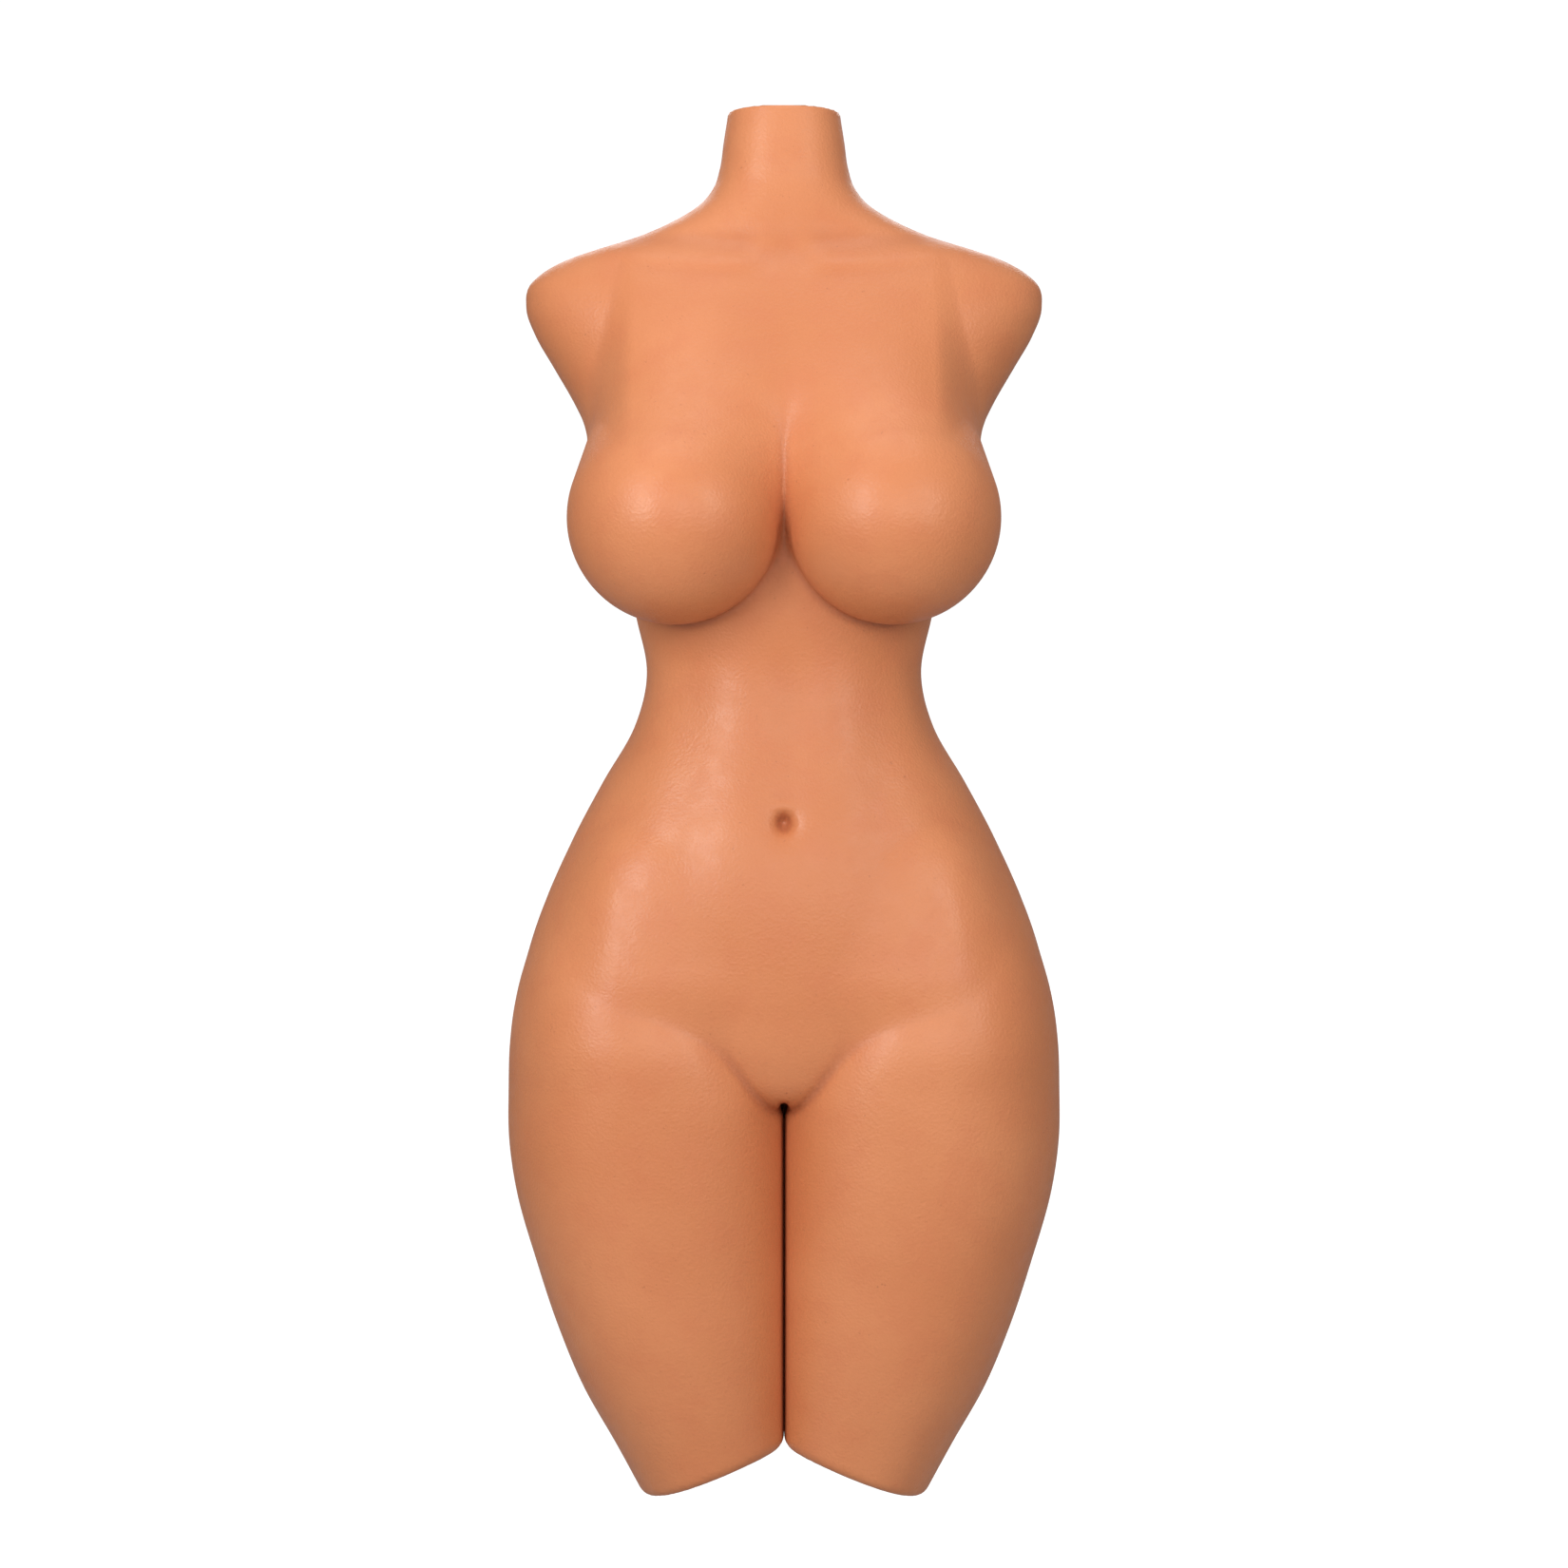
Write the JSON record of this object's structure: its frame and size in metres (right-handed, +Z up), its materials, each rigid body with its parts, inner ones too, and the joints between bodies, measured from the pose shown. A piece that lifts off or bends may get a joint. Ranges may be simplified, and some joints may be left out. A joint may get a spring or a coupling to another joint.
{
  "type": "torso mannequin",
  "caption": "Plain soft-skinned torso mannequin, headless and armless with short thighs, on a posable steel skeleton with a threaded neck socket.",
  "frame": {"origin": "centre of the neck's flat top face, at the mouth of the threaded hanging socket", "axes": "+Z up along the neck, -Y the front of the torso, +X its own left side"},
  "size_m": [0.3584, 0.2923, 0.8975],
  "materials": {
    "skin_elastomer": "satin soft elastomer with a fine pebbled grain, evenly tan",
    "core_foam": "open-cell moulded foam",
    "painted_steel": "dark satin powder coat",
    "plated_steel": "zinc plated",
    "friction_lining": "matt friction lining"
  },
  "bodies": {
    "upper_torso": {"neck_socket": "plated_steel", "neck_post": "painted_steel", "shoulder_hub": "painted_steel", "shoulder_bar": "painted_steel", "crossbar_clamp_screws": "plated_steel", "left_shoulder_plate": "painted_steel", "right_shoulder_plate": "painted_steel", "upper_spine_tube": "painted_steel", "waist_tongue": "painted_steel", "neck_skin": "skin_elastomer", "upper_torso_skin": "skin_elastomer", "upper_torso_foam": "core_foam"},
    "pelvis": {"waist_fork": "painted_steel", "waist_friction_washers": "friction_lining", "waist_pin": "plated_steel", "waist_lock_nut": "plated_steel", "lower_spine_tube": "painted_steel", "hip_block": "painted_steel", "hip_shaft": "plated_steel", "left_hip_thrust_washer": "friction_lining", "right_hip_thrust_washer": "friction_lining", "left_hip_friction_disc": "friction_lining", "right_hip_friction_disc": "friction_lining", "left_hip_lock_nut": "plated_steel", "right_hip_lock_nut": "plated_steel", "pelvis_skin": "skin_elastomer", "pelvis_foam": "core_foam"},
    "left_thigh": {"left_hip_sleeve": "painted_steel", "left_femur_tube": "painted_steel", "left_thigh_end_plate": "painted_steel", "left_thigh_skin": "skin_elastomer", "left_thigh_foam": "core_foam"},
    "right_thigh": {"right_hip_sleeve": "painted_steel", "right_femur_tube": "painted_steel", "right_thigh_end_plate": "painted_steel", "right_thigh_skin": "skin_elastomer", "right_thigh_foam": "core_foam"}
  },
  "joints": [
    {"name": "waist_bend", "type": "hinge", "parent": "upper_torso", "child": "pelvis", "pos_m": [0, 0, -0.372], "axis": [-1, 0, 0], "range_deg": [-12, 25]},
    {"name": "left_hip_swing", "type": "hinge", "parent": "pelvis", "child": "left_thigh", "pos_m": [0, 0, -0.571], "axis": [-1, 0, 0], "range_deg": [-10, 45]},
    {"name": "right_hip_swing", "type": "hinge", "parent": "pelvis", "child": "right_thigh", "pos_m": [0, 0, -0.571], "axis": [-1, 0, 0], "range_deg": [-10, 45]}
  ]
}
